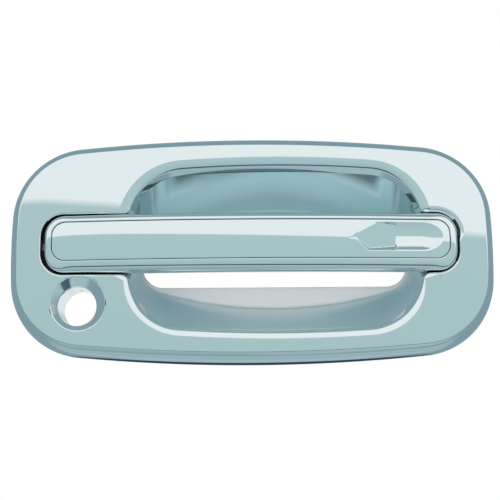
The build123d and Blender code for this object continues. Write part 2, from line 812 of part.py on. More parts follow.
def foot_screws(places):
    """Screws whose tips stay clear of the bar's shell."""
    length = foot_thick / 2 + bar_thick - bar_hollow - foot_screw_tip
    found = []
    for x, z in places:
        seat = bar_rear_depth(x) + foot_thick / 2
        found.append(cross_screw(x, z, seat, length, screw_radius, foot_screw_head, 1.1))
    return Compound(children=found)


def lever_frame(angle, radius):
    """Point at an angle and radius about the lever shaft, as (Y, Z)."""
    return lever_y + radius * cos(radians(angle)), lever_z + radius * sin(radians(angle))


def release_lever():
    drive = (drive_y, slot_rise)
    rod = lever_frame(rod_leg_angle, rod_leg)
    middle = (lever_y, lever_z)
    plate = Pos(*middle) * Circle(lever_hub + 3)
    for end, half in ((drive, 4.6), (rod, 5.0)):
        length = hypot(end[0] - middle[0], end[1] - middle[1])
        turn = degrees(asin((end[1] - middle[1]) / length))
        leg = Rectangle(length, 2 * half, align=(Align.MIN, Align.CENTER))
        plate += Pos(*middle) * Rot(0, 0, turn) * leg
        plate += Pos(*end) * Circle(half)
    body = side_plate(plate, lever_x, lever_x + lever_thick)
    body += along_x(lever_hub, hub_left, hub_right, *middle)
    body += along_x(drive_pin, drive_x - lug_width, lever_x, *drive)
    body -= along_x(lever_shaft + running + bush_wall, 0, bezel_length, *middle)
    body -= along_x(rod_clip_post, 0, bezel_length, *rod)
    return body.solid()


def lever_bush():
    inner, outer = lever_shaft + running, lever_shaft + running + bush_wall
    body = along_x(outer, hub_left, hub_right, lever_y, lever_z)
    return (body - along_x(inner, hub_left - 1, hub_right + 1, lever_y, lever_z)).solid()


def spring_coil():
    """Middle radius of the spring's coil."""
    return lever_hub + spring_wire + 0.5


def spring_rest_angle():
    """Angle about the shaft at which the moving leg leaves the coil, so that it bears on the drive pin."""
    off = spring_coil() - drive_pin - spring_wire - 0.1
    toward_pin = degrees(atan2(slot_rise - lever_z, drive_y - lever_y))
    return toward_pin - degrees(acos(off / lever_radius))


def spring_turns():
    return 3 + (spring_rest_angle() + 90) % 360 / 360


def spring_start():
    """X of the fixed leg; the moving leg is just clear of the lever plate."""
    return lever_x - spring_wire - 0.6 - spring_pitch * spring_turns()


def return_spring():
    """Torsion spring round the lever's hub: one leg in the bracket's hole, one on the drive pin."""
    radius = spring_coil()
    base = Plane(origin=(spring_start(), lever_y, lever_z), x_dir=(0, 0, -1), z_dir=(1, 0, 0))
    coil = base * Helix(spring_pitch, spring_pitch * spring_turns(), radius)
    section = Plane(origin=coil @ 0, z_dir=coil % 0) * Circle(spring_wire)
    body = sweep(section, coil, is_frenet=True)
    fixed_leg = along_y(spring_wire, lever_y, carrier_back, spring_start(), lever_z - radius)
    end = coil @ 1
    away = radians(spring_rest_angle() + 90)
    way = Vector(0, cos(away), sin(away))
    moving_leg = extrude(Plane(origin=end, z_dir=way) * Circle(spring_wire), amount=lever_radius + 1.5)
    joints = [Pos(*(coil @ t)) * Sphere(spring_wire) for t in (0, 1)]
    return (body + fixed_leg + moving_leg + joints[0] + joints[1]).solid()


def rod_clip():
    """Snap clip for the latch rod: it turns in the lever about the rod's own bent end."""
    y, z = lever_frame(rod_leg_angle, rod_leg)
    face = lever_x + lever_thick
    body = along_x(rod_clip_post - running, lever_x - 2.0, face + 0.2, y, z)
    body += along_x(rod_clip_post + 0.5, lever_x - 2.0, lever_x - 0.2, y, z)
    body += along_x(rod_clip_post + 1.6, face + 0.2, face + 3.0, y, z)
    arm = Pos(y, z - rod_clip_reach / 2) * Rectangle(4.4, rod_clip_reach)
    body += side_plate(arm, face + 0.2, face + 3.0)
    jaw = Pos(y, z - rod_clip_reach) * Circle(rod_radius + 2.2)
    body += side_plate(jaw, face + 0.2, face + 3.0)
    lips = Pos(y, z - rod_clip_reach) * (Rectangle(2 * rod_radius + 3.4, 4.4) - Rectangle(2 * rod_radius, 4.4))
    body += side_plate(lips, face + 3.0, face + 3.0 + 2 * rod_radius)
    body -= along_x(rod_radius, 0, bezel_length, y, z)
    return body.solid()


PARTS = {
    "bezel_shell": bezel_shell,
    "pocket_cup": pocket_cup,
    "carrier_frame": carrier_frame,
    "perimeter_gasket": perimeter_gasket,
    "mounting_studs": mounting_studs,
    "carrier_screws": carrier_screws,
    "lock_sleeve": lock_sleeve,
    "lock_retaining_clip": lock_retaining_clip,
    "lock_seal": lock_seal,
    "hinge_bracket": hinge_bracket,
    "hinge_pin": hinge_pin,
    "hinge_pin_ring": hinge_pin_ring,
    "hinge_rivets": lambda: rivets(hinge_rivet_places(), carrier_back + sheet_thick),
    "lever_bracket": lever_bracket,
    "lever_shaft_pin": lever_shaft_pin,
    "lever_shaft_ring": lever_shaft_ring,
    "lever_rivets": lambda: rivets(lever_rivet_places(), carrier_back + sheet_thick),
    "arm_guide": arm_guide,
    "stop_bumpers": stop_bumpers,
    "return_spring": return_spring,
    "grip_shell": grip_shell,
    "grip_back": grip_back,
    "grip_core": grip_core,
    "hinge_knuckle": hinge_knuckle,
    "knuckle_bush_upper": lambda: knuckle_bush(True),
    "knuckle_bush_lower": lambda: knuckle_bush(False),
    "pull_arm": pull_arm,
    "knuckle_screws": lambda: foot_screws(grip_screw_places()),
    "arm_screws": lambda: foot_screws(arm_screw_places()),
    "release_lever": release_lever,
    "lever_bush": lever_bush,
    "rod_clip": rod_clip,
}

os.makedirs("parts", exist_ok=True)
for name, make in PARTS.items():
    export_step(make(), f"parts/{name}.step")
print("hinge pin", round(pin_x, 3), round(pin_depth, 3), "pull", pull_angle)
print("lever shaft", round(lever_y, 3), round(lever_z, 3), "turn", round(lever_angle, 4))
print("rod end", [round(v, 3) for v in lever_frame(rod_leg_angle, rod_leg)], "lever x", round(lever_x, 3))
print("lock", round(lock_x, 3), round(lock_z, 3), "stud", round(stud_x, 3), round(stud_z, 3))
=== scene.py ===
# %% [markdown]
# # A bright pull handle for a vehicle door
#
# The handle is a plated bezel with a deep finger pocket, a pull bar that swings on a vertical pin and
# the latch mechanism behind them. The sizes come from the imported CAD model, which this file loads
# first. Bright plating shows every ripple, so the three large plated pieces are modelled again here
# with evenly spaced loops of faces, and all other pieces keep their CAD meshes and get finishes.

import json
from math import atan2, cos, hypot, pi, radians, sin, sqrt

import bmesh
import bpy
from mathutils import Euler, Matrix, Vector

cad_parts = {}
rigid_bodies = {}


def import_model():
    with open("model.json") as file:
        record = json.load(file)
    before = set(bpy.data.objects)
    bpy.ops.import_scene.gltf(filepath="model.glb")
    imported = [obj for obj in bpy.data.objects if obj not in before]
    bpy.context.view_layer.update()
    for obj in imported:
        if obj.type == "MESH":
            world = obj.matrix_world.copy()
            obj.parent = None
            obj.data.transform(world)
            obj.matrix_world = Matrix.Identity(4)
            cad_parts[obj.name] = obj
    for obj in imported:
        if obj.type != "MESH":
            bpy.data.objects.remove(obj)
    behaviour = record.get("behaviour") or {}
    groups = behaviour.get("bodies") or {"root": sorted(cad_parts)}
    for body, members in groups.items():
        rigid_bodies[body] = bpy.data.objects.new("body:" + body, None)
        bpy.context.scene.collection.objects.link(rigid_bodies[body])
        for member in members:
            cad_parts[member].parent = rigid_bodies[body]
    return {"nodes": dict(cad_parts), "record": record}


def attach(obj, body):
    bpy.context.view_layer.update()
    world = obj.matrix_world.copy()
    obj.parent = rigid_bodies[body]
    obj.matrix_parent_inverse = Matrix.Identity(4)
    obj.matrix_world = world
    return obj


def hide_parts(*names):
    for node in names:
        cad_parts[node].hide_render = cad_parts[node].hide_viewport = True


for leftover in list(bpy.data.objects):
    bpy.data.objects.remove(leftover)
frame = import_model()
bpy.context.view_layer.update()
MM = 0.001

# %% [markdown]
# Lengths below are in millimetres, as on a drawing, and become metres when a mesh is written. The
# plane Y = 0 is the door skin and -Y faces the viewer. The bezel and the opening in it are
# rectangles with bowed sides and round corners, and the slot for the bar crosses the pocket. The
# bezel is a little lower than its CAD solid, and the slot a little tighter, so that the piece stays
# inside the CAD box and the dark line round the bar is thin.

# %% Main sizes
BEZEL = {"length": 250.0, "height": 118.34, "edge_rise": 8.6, "end_rise": 5.0, "corner": 39.5}
POCKET = {"length": 148.0, "height": 83.0, "edge_rise": 3.9, "end_rise": 2.15, "corner": 27.0}
POCKET_X = 12.0
FLOOR = {"length": 144.0, "height": 55.6, "edge_rise": 12.1, "end_rise": 2.15, "corner": 14.0}
FACE_Y, CROWN_X, CROWN_Z = -15.0, 4400.0, 900.0
SLOT_X, SLOT_Z, SLOT_CORNER = (-107.0, 104.9), (-13.3, 17.4), 11.0
SLOT_MIDDLE = 2.0
BEND, RIM_BAND, LOW_BAND, BAND_START, SKIRT_SLOPE = 1.6, 11.5, 15.5, radians(40), 0.2
LOCK_X, LOCK_Z, LOCK_R, DISH_R = -88.8, -29.4, 9.9, 14.0


def mix(a, b, t):
    """Value or point part of the way from a to b."""
    if isinstance(a, (int, float)):
        return a + (b - a) * t
    return tuple(p + (q - p) * t for p, q in zip(a, b))


def ease(t):
    """Smooth step from 0 to 1, flat at both ends."""
    t = min(max(t, 0.0), 1.0)
    return t * t * (3 - 2 * t)


def spread(a, b, count, ends=True):
    """Evenly spaced values from a to b; the last is left out where ends is False."""
    steps = count - 1 if ends else count
    return [a + (b - a) * i / steps for i in range(count)]


def face_y(x, z):
    """Depth of the bezel's crowned face."""
    return FACE_Y + x * x / CROWN_X + z * z / CROWN_Z


# %% [markdown]
# A bowed rectangle is four shallow arcs joined by four corner arcs. The corner's centre is where a
# circle of the corner's radius touches both shallow arcs from inside. Growing the outline only
# changes the radii, so loops at different growths stay parallel and can be joined face by face.


# %% Outline of a bowed rectangle
def bowed(shape):
    """Radii and centres of the arcs in one quarter, with X to the right and Z up."""
    half_length, half_height = shape["length"] / 2, shape["height"] / 2
    edge = (half_length**2 + shape["edge_rise"] ** 2) / (2 * shape["edge_rise"])
    end = (half_height**2 + shape["end_rise"] ** 2) / (2 * shape["end_rise"])
    edge_z, end_x, corner = half_height - edge, half_length - end, shape["corner"]
    x, z = half_length - corner, half_height - corner
    for _ in range(60):
        x = end_x + sqrt((end - corner) ** 2 - z * z)
        z = edge_z + sqrt((edge - corner) ** 2 - x * x)
    return {
        "edge": edge,
        "end": end,
        "edge_z": edge_z,
        "end_x": end_x,
        "corner": corner,
        "x": x,
        "z": z,
        "low": atan2(z, x - end_x),
        "high": atan2(z - edge_z, x),
    }


def on_circle(x, z, radius, angle):
    return x + radius * cos(angle), z + radius * sin(angle)


def bowed_loop(shape, grow, counts=(10, 22, 26)):
    """Closed outline as (x, z) points, starting at the right-hand middle and going up and round."""
    q = bowed(shape)
    end_count, corner_count, edge_count = counts
    quarter = [
        on_circle(q["end_x"], 0, q["end"] + grow, a) for a in spread(0, q["low"], end_count, False)
    ]
    quarter += [
        on_circle(q["x"], q["z"], q["corner"] + grow, a)
        for a in spread(q["low"], q["high"], corner_count, False)
    ]
    quarter += [
        on_circle(0, q["edge_z"], q["edge"] + grow, a)
        for a in spread(q["high"], pi / 2, edge_count + 1)
    ]
    left = [(-x, z) for x, z in reversed(quarter[:-1])]
    top = quarter + left
    return top + [(x, -z) for x, z in reversed(top[1:-1])]


print("outer outline", len(bowed_loop(BEZEL, 0)), "points")

# %% [markdown]
# The opening is the slot and the pocket as one hole. One quarter runs along half of the slot's end,
# round its corner, along its edge, through a small inner fillet and round the pocket's corner to the
# middle of the pocket. Each part has a fixed number of points, so that every loop of the rolled edge
# has the same points in the same order. The weight says how much a point belongs to the pocket.

# %% Outline of the opening
QUARTER = (7, 12, 16, 12, 24, 24)
WALL_FILLET, FACE_FILLET = 4.5, 3.2
NECK, THROAT = 0.35, 0.8


def opening_quarter(side, up, pocket_grow, slot_grow, fillet):
    """Points (x, z, weight) from the slot's end to the pocket's middle; side and up are +1 or -1."""
    q = bowed(POCKET)
    edge_z = (SLOT_Z[1] if up > 0 else -SLOT_Z[0]) + slot_grow
    middle = SLOT_MIDDLE * up
    end_x = (SLOT_X[1] - POCKET_X if side > 0 else POCKET_X - SLOT_X[0]) + slot_grow
    corner = SLOT_CORNER + slot_grow
    pocket_corner = q["corner"] + pocket_grow
    fillet_z = edge_z + fillet
    fillet_x = q["x"] + sqrt((pocket_corner + fillet) ** 2 - (fillet_z - q["z"]) ** 2)
    touch = atan2(fillet_z - q["z"], fillet_x - q["x"])
    n_end, n_corner, n_edge, n_fillet, n_pocket, n_top = QUARTER
    points = [(end_x, z, 0.0) for z in spread(middle, edge_z - corner, n_end, False)]
    for a in spread(0, pi / 2, n_corner, False):
        x, z = on_circle(end_x - corner, edge_z - corner, corner, a)
        points.append((x, z, 0.0))
    for i, x in enumerate(spread(end_x - corner, fillet_x, n_edge, False)):
        points.append((x, edge_z, NECK * ease((i - n_edge * 0.45) / (n_edge * 0.55))))
    for i, a in enumerate(spread(-pi / 2, touch - pi, n_fillet, False)):
        x, z = on_circle(fillet_x, fillet_z, fillet, a)
        points.append((x, z, mix(NECK, THROAT, i / n_fillet)))
    for i, a in enumerate(spread(touch, q["high"], n_pocket, False)):
        x, z = on_circle(q["x"], q["z"], pocket_corner, a)
        points.append((x, z, mix(THROAT, 1.0, ease(i / (n_pocket * 0.4)))))
    for a in spread(q["high"], pi / 2, n_top + 1):
        x, z = on_circle(0, q["edge_z"], q["edge"] + pocket_grow, a)
        points.append((x, z, 1.0))
    return [(POCKET_X + side * x, up * z, w) for x, z, w in points]


def opening_loop(pocket_grow, slot_grow, fillet):
    """The whole opening, from the right-hand end of the slot up and round."""
    parts = [
        opening_quarter(side, up, pocket_grow, slot_grow, fillet)
        for side, up in ((1, 1), (-1, 1), (-1, -1), (1, -1))
    ]
    loop = parts[0][:-1] + parts[1][:0:-1] + parts[2][:-1] + parts[3][:0:-1]
    return loop


print("opening", len(opening_loop(0, 0, WALL_FILLET)), "points")

# %% [markdown]
# A loft pulls a loop of edges from station to station, and each pull adds one band of quads. That
# keeps the quads in even rows along a bright surface, which is what makes its reflections run
# cleanly. Another way would be a subdivided cage, but its corners drift from the drawing.


# %% Tools for lofted pieces
def loft(rings, closed=False):
    """Mesh made by pulling a closed loop of points, in millimetres, through a list of loops."""
    bm = bmesh.new()
    loop = [bm.verts.new(Vector(p) * MM) for p in rings[0]]
    edges = [bm.edges.new((a, b)) for a, b in zip(loop, loop[1:] + loop[:1])]
    first_edges = edges
    for points in rings[1:]:
        place = {v: i for i, v in enumerate(loop)}
        made = bmesh.ops.extrude_edge_only(bm, edges=edges)["geom"]
        fresh = [g for g in made if isinstance(g, bmesh.types.BMVert)]
        renewed = [None] * len(loop)
        for v in fresh:
            back = next(e.other_vert(v) for e in v.link_edges if e.other_vert(v) in place)
            i = place[back]
            v.co = Vector(points[i]) * MM
            renewed[i] = v
        loop, new = renewed, set(fresh)
        edges = [
            g for g in made if isinstance(g, bmesh.types.BMEdge) and all(v in new for v in g.verts)
        ]
    if closed:
        bmesh.ops.bridge_loops(bm, edges=edges + first_edges)
    return bm


def finish_mesh(bm, name, body, sharp=35.0):
    """Writes the mesh, marks creases that are sharper than an angle and hangs it on its body."""
    bmesh.ops.recalc_face_normals(bm, faces=bm.faces)
    for e in bm.edges:
        if len(e.link_faces) == 2:
            e.smooth = e.calc_face_angle() < radians(sharp)
    for f in bm.faces:
        f.smooth = True
    mesh = bpy.data.meshes.new(name)
    bm.to_mesh(mesh)
    bm.free()
    made = bpy.data.objects.new(name, mesh)
    bpy.context.scene.collection.objects.link(made)
    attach(made, body)
    print(name, len(mesh.vertices), "vertices", len(mesh.polygons), "faces")
    return made


# %% [markdown]
# The bezel's section starts at the back lip, goes up the drafted skirt, over a rolled rim, across
# the crowned face, down a second roll into the opening and along the collar. The rim is a tight
# bend and a broad, gently rounded band that meets the skirt, so its place is worked out for every
# point round the outline. The face's loops are spaced from the rim to the opening, and their depth
# comes from the crown alone.


# %% Rim of the bezel
RIM_STEPS = (8, 16)


def rim_section(px, pz, nx, nz):
    """Points of the rim at one place on the outline, from the skirt up to the crown."""
    skirt_tilt = atan2(1.0, SKIRT_SLOPE)
    band = mix(RIM_BAND, LOW_BAND, max(0.0, -nz))
    inset = 7.0
    for _ in range(8):
        x, z = px - nx * inset, pz - nz * inset
        tilt = atan2(2 * x * nx / CROWN_X + 2 * z * nz / CROWN_Z, 1.0)
        run = BEND * (sin(BAND_START) - sin(tilt)) + band * (sin(skirt_tilt) - sin(BAND_START))
        fall = BEND * (cos(tilt) - cos(BAND_START)) + band * (cos(BAND_START) - cos(skirt_tilt))
        inset = run - SKIRT_SLOPE * (face_y(x, z) + fall)
    found = []
    for a in spread(tilt, BAND_START, RIM_STEPS[0], False):
        out, back = BEND * (sin(a) - sin(tilt)), BEND * (cos(tilt) - cos(a))
        found.append((inset - out, face_y(x, z) + back))
    out, back = BEND * (sin(BAND_START) - sin(tilt)), BEND * (cos(tilt) - cos(BAND_START))
    for a in spread(BAND_START, skirt_tilt, RIM_STEPS[1]):
        further = band * (sin(a) - sin(BAND_START))
        deeper = band * (cos(BAND_START) - cos(a))
        found.append((inset - out - further, face_y(x, z) + back + deeper))
    return [(px - nx * s, y, pz - nz * s) for s, y in reversed(found)]


middle_low = rim_section(0.0, -BEZEL["height"] / 2, 0.0, -1.0)
print("rim section", len(middle_low), "points,", round(middle_low[0][1] - middle_low[-1][1], 2), "deep")

# %% [markdown]
# The bezel's face runs from the rim to the opening, so every point of the opening needs a partner on
# the outline. Matching marks on both, such as the ends of the corners, are joined, and the points
# between two marks are spaced evenly along the outline. The marks give the run in millimetres from
# the nearest end's middle.


# %% Partners on the outline
def matched_outer():
    """A point of the outer outline for every point of the opening, spaced between matching marks."""
    dense = bowed_loop(BEZEL, 0, (60, 160, 200))
    inner = bowed_loop(BEZEL, -1, (60, 160, 200))
    lengths = [0.0]
    for a, b in zip(dense, dense[1:] + dense[:1]):
        lengths.append(lengths[-1] + hypot(b[0] - a[0], b[1] - a[1]))
    whole, count = lengths[-1], len(dense)
    marks = {1: (0.0, 19.0, 38.0, 60.0, 66.0, 104.0), -1: (0.0, 16.0, 36.0, 62.0, 68.0, 104.0)}
    quarter_run = whole / 4
    stations = []
    for turn, (side, up) in enumerate(((1, 1), (-1, 1), (-1, -1), (1, -1))):
        own = []
        stops = list(marks[side]) + [quarter_run - side * POCKET_X]
        for low, high, n in zip(stops, stops[1:], QUARTER):
            own += spread(low, high, n, False)
        own.append(stops[-1])
        base = (0, whole / 2, whole / 2, whole)[turn]
        sign = (1, -1, 1, -1)[turn]
        own = [base + sign * s for s in own]
        stations += own[:-1] if turn % 2 == 0 else own[:0:-1]
    outer_points, inner_points = [], []
    for s in stations:
        s = s % whole
        low, high = 0, count
        while high - low > 1:
            half = (low + high) // 2
            low, high = (half, high) if lengths[half] <= s else (low, half)
        t = (s - lengths[low]) / (lengths[low + 1] - lengths[low])
        outer_points.append(mix(dense[low], dense[(low + 1) % count], t))
        inner_points.append(mix(inner[low], inner[(low + 1) % count], t))
    return outer_points, inner_points


outer_points, inner_points = matched_outer()
print("matched", len(outer_points), "stations")

# %% [markdown]
# The opening's rolled edge has a wide radius round the pocket and a tight one along the slot, and a
# wider one again at the slot's upper right. Each is drawn as its own set of loops, and the point
# weights blend them, so the roll narrows smoothly where the pocket meets the slot.

# %% Rolled edge of the opening
ROLL_STEPS = (8, 14)
COLLAR_BACK, WALL_DEPTH, COLLAR_IN, KNEE = -5.0, 7.4, -0.5, 40.0
POCKET_ROLL = {"radius": 8.0, "tight": 1.8, "knee": KNEE, "draft": 16.0, "base": COLLAR_IN}
TIGHT_ROLL, WIDE_ROLL = 1.2, 3.2


def roll_section(radius, tight, knee, draft, base):
    """(growth, depth below the face) from the collar's wall, round a tight bend, then a broad one."""
    steep, knee = radians(90 - draft), radians(knee)
    bend_fall = radius * (1 - cos(knee)) + tight * (cos(knee) - cos(steep))
    wall_run = (WALL_DEPTH - bend_fall) * sin(radians(draft)) / cos(radians(draft))
    across = base + wall_run + tight * (sin(steep) - sin(knee)) + radius * sin(knee)
    found = []
    for a in spread(steep, knee, ROLL_STEPS[0], False):
        grow = base + wall_run + tight * (sin(steep) - sin(a))
        found.append((grow, radius * (1 - cos(knee)) + tight * (cos(knee) - cos(a))))
    for a in spread(knee, 0, ROLL_STEPS[1]):
        found.append((across - radius * sin(a), radius * (1 - cos(a))))
    return found


def roll_rings(slot_radius):
    """Loops of (x, y, z) from the collar's back up to the face."""
    pocket = roll_section(**POCKET_ROLL)
    slot = roll_section(slot_radius, slot_radius, KNEE, 2.0, 0.0)
    rings = []
    for k, ((pg, pd), (sg, sd)) in enumerate(zip(pocket, slot)):
        loop = opening_loop(pg, sg, mix(WALL_FILLET, FACE_FILLET, k / (len(pocket) - 1)))
        rings.append([(x, face_y(x, z) + mix(sd, pd, w), z) for x, z, w in loop])
    wall = []
    back = [(x, COLLAR_BACK, z) for x, z, w in opening_loop(COLLAR_IN, 0, WALL_FILLET)]
    for t in spread(0, 1, 8, False):
        wall.append([mix(a, b, t) for a, b in zip(back, rings[0])])
    return wall + rings


tight, wide = roll_rings(TIGHT_ROLL), roll_rings(WIDE_ROLL)
n_end, n_corner, n_edge, n_fillet = QUARTER[:4]
upper_right = []
for i in range(len(tight[0])):
    if i < sum(QUARTER):
        share = ease(i / (n_end + 2)) * (1 - ease((i - n_end - n_corner - n_edge) / n_fillet))
    else:
        share = 0.0
    upper_right.append(share)
roll = [[mix(a, b, s) for a, b, s in zip(ta, wa, upper_right)] for ta, wa in zip(tight, wide)]
print("roll", len(roll), "loops of", len(roll[0]))

# %% [markdown]
# With the rim, the face and the roll in one list of loops, the bezel is one pull. Its inside is a
# plain offset, because the black carrier covers it. The lock's hole is cut last, with a turned
# cutter that makes the bore and its dished mouth in one go.

# %% Bezel
FACE_STEPS = 34
directions = []
for p, q in zip(outer_points, inner_points):
    size = hypot(p[0] - q[0], p[1] - q[1])
    directions.append(((p[0] - q[0]) / size, (p[1] - q[1]) / size))
sections = [rim_section(*p, *n) for p, n in zip(outer_points, directions)]
rim = [[s[k] for s in sections] for k in range(sum(RIM_STEPS))]


def skirt_ring(y, inset):
    """Loop on the skirt at a depth, moved in by inset."""
    s = inset - SKIRT_SLOPE * y
    return [(p[0] - n[0] * s, y, p[1] - n[1] * s) for p, n in zip(outer_points, directions)]


foot = skirt_ring(-0.8, 0)
skirt = [skirt_ring(-0.5, 0), foot]
for t in (0.33, 0.67):
    skirt.append([mix(a, b, t) for a, b in zip(foot, rim[0])])
face = []
for k in range(1, FACE_STEPS):
    t = k / FACE_STEPS
    t = mix(t, ease(t), 0.45)
    ring = []
    for a, b in zip(rim[-1], roll[-1]):
        x, z = mix(a[0], b[0], t), mix(a[2], b[2], t)
        ring.append((x, face_y(x, z), z))
    face.append(ring)
lip_back = [(x, COLLAR_BACK, z) for x, z, w in opening_loop(2.2, 2.2, 3.5)]
lip_front = [(x, face_y(x, z) + 3.2, z) for x, z, w in opening_loop(4.4, 2.6, 3.2)]
inner_rim = [
    (p[0] - n[0] * 12, face_y(*p) + 4.2, p[1] - n[1] * 12) for p, n in zip(outer_points, directions)
]
inner_skirt = [skirt_ring(y, 2.5) for y in (-2.0, -0.5)]
inside = [lip_back, lip_front, inner_rim] + inner_skirt
bezel_rings = skirt + rim + face + list(reversed(roll)) + inside
bezel = finish_mesh(loft(bezel_rings, closed=True), "bezel_face", "base")
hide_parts("bezel_shell")

# %% [markdown]
# A boolean cut leaves large many-sided faces round the hole, which would bend the reflections near
# it. Its edge is bevelled, and weighted normals let the large faces decide, so the crown stays clean.


# %% Lock hole
def turned(profile, name, x, z, steps=72):
    """Solid turned about an axis along Y, from (radius, y) points."""
    bm = bmesh.new()
    points = [bm.verts.new(Vector((x + r, y, z)) * MM) for r, y in profile]
    line = [bm.edges.new(pair) for pair in zip(points, points[1:])]
    bmesh.ops.spin(
        bm,
        geom=points + line,
        cent=Vector((x, 0, z)) * MM,
        axis=(0, 1, 0),
        angle=2 * pi,
        steps=steps,
        use_merge=True,
    )
    bmesh.ops.remove_doubles(bm, verts=bm.verts, dist=1e-7)
    bmesh.ops.recalc_face_normals(bm, faces=bm.faces)
    mesh = bpy.data.meshes.new(name)
    bm.to_mesh(mesh)
    bm.free()
    made = bpy.data.objects.new(name, mesh)
    bpy.context.scene.collection.objects.link(made)
    return made


lock_face = face_y(LOCK_X, LOCK_Z)
flare = (DISH_R - LOCK_R) / 3.0
above = lock_face - 4.0
profile = [(0, 3), (LOCK_R, 3), (LOCK_R, lock_face + 3.0), (LOCK_R + 7 * flare, above), (0, above)]
cutter = turned(profile, "lock_cutter", LOCK_X, LOCK_Z)
cut = bezel.modifiers.new("lock hole", "BOOLEAN")
cut.object, cut.operation, cut.solver = cutter, "DIFFERENCE", "EXACT"
bpy.context.view_layer.update()
cut_mesh = bpy.data.meshes.new_from_object(bezel.evaluated_get(bpy.context.evaluated_depsgraph_get()))
bezel.modifiers.clear()
bezel.data = cut_mesh
bpy.data.objects.remove(cutter)
bm = bmesh.new()
bm.from_mesh(bezel.data)
rims = []
for e in bm.edges:
    middle = (e.verts[0].co + e.verts[1].co) / 2 / MM
    near = hypot(middle.x - LOCK_X, middle.z - LOCK_Z)
    if near < 15.5 and middle.y < lock_face + 3.4 and len(e.link_faces) == 2:
        if e.calc_face_angle() > radians(18):
            rims.append(e)
bmesh.ops.bevel(bm, geom=rims, offset=0.45 * MM, segments=3, affect="EDGES", profile=0.5, material=-1)
for e in bm.edges:
    if len(e.link_faces) == 2:
        e.smooth = e.calc_face_angle() < radians(35)
for f in bm.faces:
    f.smooth = True
bm.to_mesh(bezel.data)
bm.free()
even = bezel.modifiers.new("even normals", "WEIGHTED_NORMAL")
even.keep_sharp = True
print("lock rim edges", len(rims), "bezel", len(bezel.data.polygons), "faces")

# %% [markdown]
# The cup is lofted too: a flange behind the bezel's collar, a long tapered wall, a soft crease, a
# ledge and a straight-edged window. Its outside is offset by the wall's thickness.

# %% Pocket cup
CUP_COUNTS = (10, 22, 30)
CUP_FLOOR, CUP_WALL, CUP_FLANGE, CREASE_LOW = 18.0, 1.8, 4.0, 0.87
WINDOW = {"length": 141.0, "height": 33.0, "edge_rise": 0.02, "end_rise": 0.02, "corner": 11.0}


def at_depth(loop, y):
    return [(POCKET_X + x, y, z) for x, z in loop]


def floor_ring(grow, y):
    """Loop of the cup's crease, a little flatter above than below."""
    loop = [(x, z * CREASE_LOW if z > 0 else z) for x, z in bowed_loop(FLOOR, grow, CUP_COUNTS)]
    return at_depth(loop, y)


def between(a, b, t):
    return [mix(p, q, t) for p, q in zip(a, b)]


def curve(a, corner, b, steps):
    """Loops along a soft curve from loop a towards the corner loop and away to loop b."""
    return [between(between(a, corner, t), between(corner, b, t), t) for t in spread(0, 1, steps)]


mouth = at_depth(bowed_loop(POCKET, 0, CUP_COUNTS), COLLAR_BACK)
crease = floor_ring(0, CUP_FLOOR)
opening = at_depth(bowed_loop(WINDOW, 0, CUP_COUNTS), CUP_FLOOR)
wall_end, ledge_start = between(mouth, crease, 0.9), between(crease, opening, 0.16)
ledge_end = between(crease, opening, 0.93)
lip_front = at_depth(bowed_loop(WINDOW, 0, CUP_COUNTS), CUP_FLOOR + 0.7)
cup_rings = [at_depth(bowed_loop(POCKET, CUP_FLANGE, CUP_COUNTS), y) for y in (-3.8, -4.95)]
cup_rings += [between(mouth, crease, t) for t in spread(0, 0.9, 14, False)]
cup_rings += curve(wall_end, crease, ledge_start, 9)
cup_rings += [between(ledge_start, ledge_end, t) for t in (0.3, 0.65)]
cup_rings += curve(ledge_end, opening, lip_front, 6)
cup_rings += [at_depth(bowed_loop(WINDOW, 0, CUP_COUNTS), CUP_FLOOR + CUP_WALL)]
cup_rings += [floor_ring(CUP_WALL, CUP_FLOOR + CUP_WALL)]
cup_rings += [at_depth(bowed_loop(POCKET, CUP_WALL, CUP_COUNTS), -3.8)]
cup = finish_mesh(loft(cup_rings, closed=True), "cup_face", "base", sharp=40)
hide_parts("pocket_cup")

# %% [markdown]
# The bar's shell is bowed along its length and crowned across. A thin crease runs round its sunk
# panel. The shell is lofted from the back edge over the rail and down into the crease. The rolled
# edge is tighter at the ends, where the crown falls away a little faster.

# %% Bar shell
BAR_MID, BAR_HALF, BAR_CORNER = (-0.45, 2.0), (105.0, 15.0), 10.5
BAR_APEX, BAR_SWEEP, BAR_CROWN, BAR_THICK = -20.58, 1823.6, 120.0, 8.4
END_START, END_FALL = 93.0, 0.003
BAR_COUNTS = (8, 16, 90)
PANEL_MID, PANEL_HALF, PANEL_CORNER = (-0.6, 3.15), (100.6, 9.65), 6.5
NEARLY_STRAIGHT = 0.02


def straight_sided(half, corner):
    """Sizes of a rectangle whose sides are bowed by next to nothing."""
    return {
        "length": 2 * half[0],
        "height": 2 * half[1],
        "edge_rise": NEARLY_STRAIGHT,
        "end_rise": NEARLY_STRAIGHT,
        "corner": corner,
    }


BAR, PANEL = straight_sided(BAR_HALF, BAR_CORNER), straight_sided(PANEL_HALF, PANEL_CORNER)


def bar_front(x, z):
    """Depth of the bar's crowned face."""
    along, up = x - BAR_MID[0], z - BAR_MID[1]
    end = max(0.0, abs(along) - END_START)
    return BAR_APEX + along**2 / BAR_SWEEP + up**2 / BAR_CROWN + END_FALL * end**2


def bar_rear(x):
    return BAR_APEX + BAR_THICK + (x - BAR_MID[0]) ** 2 / BAR_SWEEP


bar_base = [(BAR_MID[0] + x, BAR_MID[1] + z) for x, z in bowed_loop(BAR, 0, BAR_COUNTS)]
bar_inner = [(BAR_MID[0] + x, BAR_MID[1] + z) for x, z in bowed_loop(BAR, -1, BAR_COUNTS)]


